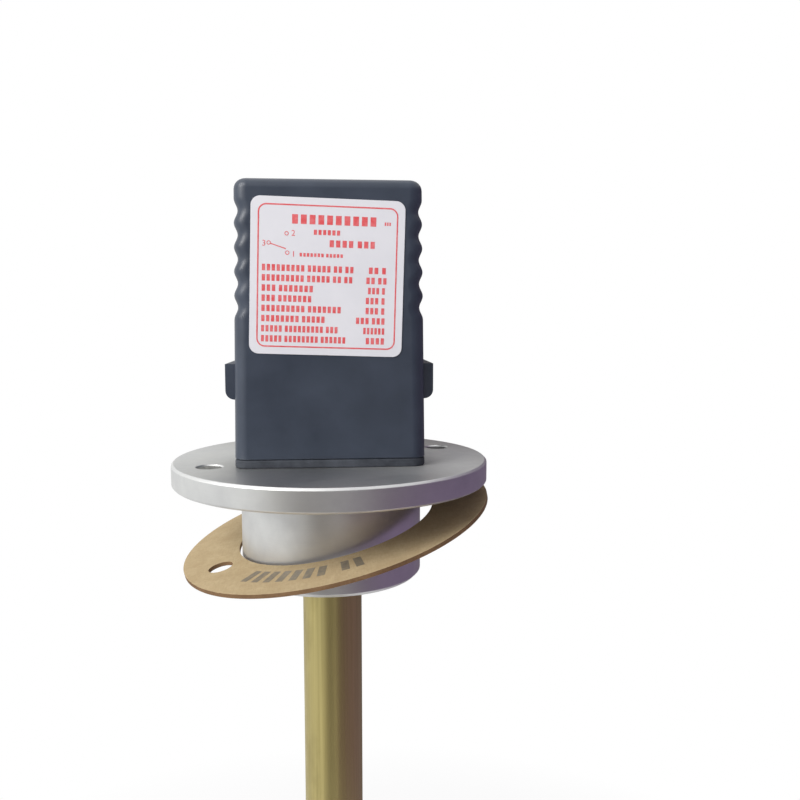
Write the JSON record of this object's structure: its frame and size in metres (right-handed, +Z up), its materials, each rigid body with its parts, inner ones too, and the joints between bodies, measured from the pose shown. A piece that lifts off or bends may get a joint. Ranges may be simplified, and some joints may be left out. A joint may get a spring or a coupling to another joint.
{
  "type": "level switch",
  "caption": "Magnetic float level switch with a rectangular plug connector, a round bolted flange, a brass stem and a ring float.",
  "frame": {"origin": "centre of the bolt circle on the flange's underside", "axes": "+Z up along the stem towards the connector; -Y towards the labelled front; +Y along the cable gland"},
  "size_m": [0.0734, 0.0733, 0.267],
  "materials": {
    "turned_aluminium": "satin, turned",
    "gasket_fibre": "matte pressed fibre",
    "stem_brass": "drawn, slightly dull",
    "nut_brass": "turned",
    "seal_rubber": "matte",
    "pad_rubber": "matte",
    "spring_steel": "phosphated",
    "screw_steel": "zinc plated",
    "float_plastic": "fine matte",
    "ferrite": "ground",
    "reed_glass": "clear",
    "contact_metal": "tinned",
    "board_laminate": "laminate",
    "wire_sleeve": "soft sleeve",
    "base_plastic": "moulded",
    "insert_plastic": "moulded",
    "hood_plastic": "moulded, slightly glossy",
    "label_paper": "coated"
  },
  "bodies": {
    "stem": {"flange_body": "turned_aluminium", "stem_tube": "stem_brass", "stem_collar": "stem_brass", "stem_seal": "seal_rubber", "ring_nut": "nut_brass", "end_plug": "stem_brass", "stop_clips": "spring_steel", "stop_washers": "seal_rubber", "reed_glass": "reed_glass", "reed_blades": "contact_metal", "circuit_board": "board_laminate", "lead_wires": "wire_sleeve", "wire_grommet": "seal_rubber", "contact_base": "base_plastic", "contact_blades": "contact_metal", "earth_blade": "contact_metal", "base_screws": "screw_steel", "thread_insert": "nut_brass", "plug_gasket": "pad_rubber"},
    "gasket": {"flange_gasket": "gasket_fibre"},
    "float": {"float_shell": "float_plastic", "float_lid": "float_plastic", "float_magnet": "ferrite"},
    "connector": {"connector_hood": "hood_plastic", "rating_label": "label_paper", "terminal_insert": "insert_plastic", "socket_contacts": "nut_brass", "terminal_screws": "screw_steel", "screw_seal": "seal_rubber", "cable_seal": "seal_rubber", "cable_washer": "screw_steel"},
    "gland": {"gland_nut": "hood_plastic"},
    "screw_ring": {"captive_ring": "spring_steel"},
    "screw": {"hood_screw": "screw_steel"}
  },
  "joints": [
    {"name": "float_slide", "type": "slide", "parent": "stem", "child": "float", "axis": [0, 0, 1], "range_m": [0, 0.02]},
    {"name": "gasket_tilt", "type": "hinge", "parent": "stem", "child": "gasket", "pos_m": [0.04152, 0.01349, -0.0009], "axis": [-0.309, 0.9511, 0], "range_deg": [0, 13.75]},
    {"name": "connector_pull", "type": "slide", "parent": "stem", "child": "connector", "axis": [0, 0, 1], "range_m": [0, 0.03]},
    {"name": "gland_nut_turn", "type": "hinge", "parent": "connector", "child": "gland", "pos_m": [0, 0.027, 0.04605], "axis": [0, 1, 0], "continuous": true},
    {"name": "screw_lift", "type": "slide", "parent": "connector", "child": "screw_ring", "axis": [0, 0, 1], "range_m": [0, 0.0072]},
    {"name": "screw_turn", "type": "hinge", "parent": "screw_ring", "child": "screw", "pos_m": [0, 0, 0.06], "axis": [0, 0, 1], "range_deg": [0, 4320]}
  ],
  "couplings": [
    {"joint": "screw_turn", "follows": "screw_lift", "rad_per_m": 10472}
  ]
}
